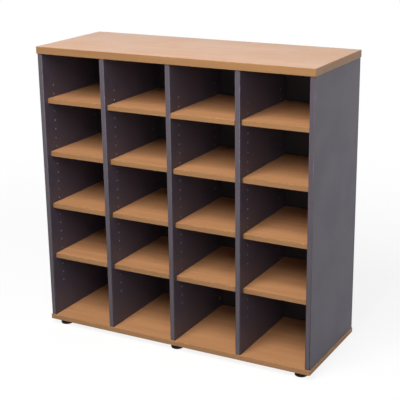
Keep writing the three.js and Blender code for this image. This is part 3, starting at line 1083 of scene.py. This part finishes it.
def make_insert(place):
    """The flanged insert in the base."""
    low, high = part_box(f"foot_insert_{place}")
    radius = (high.x - low.x) / 2
    lip_z, flange_z = low.z + FLANGE_LIP, low.z + FLANGE_THICKNESS
    outline = [
        (SLEEVE_BORE, lip_z),
        (SLEEVE_BORE + FLANGE_LIP, low.z),
        (radius - FLANGE_LIP, low.z),
        (radius, lip_z),
        (radius, flange_z),
        (SLEEVE_RADIUS, flange_z),
        (SLEEVE_RADIUS, high.z),
        (SLEEVE_BORE, high.z),
        (SLEEVE_BORE, lip_z),
    ]
    centre = middle_of(f"foot_insert_{place}")
    piece = turned_piece(f"foot_insert_flange_{place}", outline, centre, FOOT_STEPS, zinc_plate, CRISP)
    return settle(piece, "zinc", f"foot_insert_{place}")


for place in FOOT_PLACES:
    make_pad(place)
    make_stem(place)
    make_insert(place)
print("feet:", len(FOOT_PLACES))

# %% [markdown]
# ## Floor, light and background
#
# A catalogue picture is taken between softboxes, in front of white. The large one stands straight in front
# and high up, so that its light reaches halfway into the pigeonholes. A sun lamp would reach less far into
# the upper row, because the top stands further out than the shelves. A softbox a few metres off is lower as
# seen from the upper row, and lights all the rows alike, as in the photograph. A weaker one stands low on the
# right, and two low at the rear, so that the sides and the back don't go black. None of them shows in gloss:
# what the boards reflect is the white of the surroundings.

# %% Set up the softboxes
def add_softbox(name, watts, width, height, from_right, lift, distance):
    """A softbox aimed at the middle of the sorter, placed by angles to the right and up and a distance."""
    lamp = bpy.data.lights.new(name, "AREA")
    lamp.energy = watts
    lamp.shape = "RECTANGLE"
    lamp.size, lamp.size_y = width, height
    side, up = math.radians(from_right), math.radians(lift)
    outwards = Vector((math.sin(side) * math.cos(up), -math.cos(side) * math.cos(up), math.sin(up)))
    softbox = show(name, lamp)
    softbox.rotation_euler = outwards.to_track_quat("Z", "Y").to_euler()
    softbox.location = sum(cad_box, Vector()) / 2 + outwards * distance
    softbox.visible_glossy = False


add_softbox("key", 146, 1.8, 2.1, from_right=0, lift=49, distance=3.3)
add_softbox("fill", 41, 1.8, 1.8, from_right=35, lift=20, distance=4.0)
add_softbox("rear_right", 44, 1.8, 1.8, from_right=115, lift=6, distance=4.0)
add_softbox("rear_left", 55, 1.8, 1.8, from_right=215, lift=6, distance=4.0)
print("softboxes:", [lamp.name for lamp in bpy.data.lights])

# %% [markdown]
# The surroundings are white where the camera or a reflection sees them, and much dimmer as a light, so that
# they don't wash the colours out. The floor does the same. Close to the sorter it is partly a plain matt
# floor, which keeps the shadow and throws some light on the base, and further off it glows up to the white
# of the background. For the light that it throws, the floor is painted paler close to the sorter: a painted
# pool of light. What gloss shows of it is painted shade: dimmer close to the sorter, and darkest where the
# feet stand. From below the floor is clear, so that the underside of the base can be looked at.

# %% Make the white surroundings
AMBIENT = 0.03
FLOOR_RADIUS, FLOOR_SIDES, FLOOR_GAP = 4.0, 64, 0.1 * MM
CONTACT_REACH, SHADOW_REACH, WHITE_REACH = 0.07, 0.4, 2.6
# The first of these colours is a painted pool of light: the floor's colour for bounced light close to the
# sorter.
NEAR_PAINTED_LIGHT, FAR_LIT, FLOOR_SEEN = (0.6, 0.6, 0.6, 1), (0.28, 0.28, 0.28, 1), (0.95, 0.95, 0.95, 1)
# The last two values are painted shade: how bright gloss shows the floor where the feet stand, and close to
# the sorter.
NEAR_GLOW, CONTACT_SHADED_SHEEN, NEAR_SHADED_SHEEN = 0.86, 0.15, 0.80
WHITE = (1, 1, 1, 1)


def seen_rays(tree):
    """1 for rays from the camera, and for what shows in gloss or glass."""
    rays = put(tree, "LightPath").outputs
    direct = work_out(tree, "Math", "MAXIMUM", rays["Is Camera Ray"], rays["Is Glossy Ray"])
    return work_out(tree, "Math", "MAXIMUM", direct, rays["Is Transmission Ray"])


def make_world():
    """White to look at, and a weak light."""
    world = bpy.data.worlds.new("white_studio")
    world.use_nodes = True
    tree = world.node_tree
    tree.nodes.clear()
    lit = put(tree, "Background", {"Color": WHITE, "Strength": AMBIENT}).outputs["Background"]
    shown = put(tree, "Background", {"Color": WHITE, "Strength": 1.0}).outputs["Background"]
    either = put(tree, "MixShader", {0: seen_rays(tree), 1: lit, 2: shown}).outputs["Shader"]
    put(tree, "OutputWorld", {"Surface": either})
    return world


def distance_from_sorter(tree):
    """How far a point of the floor lies outside the sorter's outline, seen from above."""
    half = (cad_box[1] - cad_box[0]) / 2
    place = put(tree, "TexCoord").outputs["Object"]
    folded = work_out(tree, "VectorMath", "ABSOLUTE", place)
    past = work_out(tree, "VectorMath", "SUBTRACT", folded, (half.x, half.y, 0))
    outside = work_out(tree, "VectorMath", "MAXIMUM", past, (0, 0, 0))
    return put(tree, "VectorMath", {0: outside}, operation="LENGTH").outputs["Value"]


def make_floor_finish():
    """A matt floor that glows to white away from the sorter, and is clear when it is seen from below. Close
    to the sorter it has a painted pool of light for bounced light, and painted shade in gloss.
    """
    finish = bpy.data.materials.new("studio_floor")
    finish.use_nodes = True
    tree = finish.node_tree
    tree.nodes.clear()
    away = distance_from_sorter(tree)
    glow = spread(tree, away, SHADOW_REACH, WHITE_REACH, NEAR_GLOW, 1)
    # Painted shade: what gloss shows of the floor is dimmed close to the sorter, and most where the feet
    # stand.
    contact_shade = spread(tree, away, 0, CONTACT_REACH, CONTACT_SHADED_SHEEN, NEAR_SHADED_SHEEN)
    sheen = times_plus(tree, spread(tree, away, CONTACT_REACH, WHITE_REACH), 1 - NEAR_SHADED_SHEEN, contact_shade)
    by_camera = put(tree, "LightPath").outputs["Is Camera Ray"]
    # Painted pool of light: for bounced light the floor is paler close to the sorter than further off.
    lit = blend(tree, spread(tree, away, CONTACT_REACH, SHADOW_REACH), NEAR_PAINTED_LIGHT, FAR_LIT)
    matt = put(tree, "BsdfDiffuse", {"Color": blend(tree, by_camera, lit, FLOOR_SEEN)}).outputs["BSDF"]
    strength = work_out(tree, "Math", "MAXIMUM", by_camera, sheen)
    white = put(tree, "Emission", {"Color": WHITE, "Strength": strength}).outputs["Emission"]
    upper = put(tree, "MixShader", {0: times_plus(tree, glow, seen_rays(tree)), 1: matt, 2: white})
    from_below = put(tree, "NewGeometry").outputs["Backfacing"]
    clear = put(tree, "BsdfTransparent").outputs["BSDF"]
    surface = put(tree, "MixShader", {0: from_below, 1: upper.outputs["Shader"], 2: clear})
    put(tree, "OutputMaterial", {"Surface": surface.outputs["Shader"]})
    return finish


bpy.context.scene.world = make_world()
floor_bm = bmesh.new()
bmesh.ops.create_circle(floor_bm, cap_ends=True, segments=FLOOR_SIDES, radius=FLOOR_RADIUS)
bmesh.ops.translate(floor_bm, verts=floor_bm.verts, vec=(0, 0, -FLOOR_GAP))
floor = to_piece(floor_bm, "floor", [make_floor_finish()])
print("floor radius:", FLOOR_RADIUS, "m")
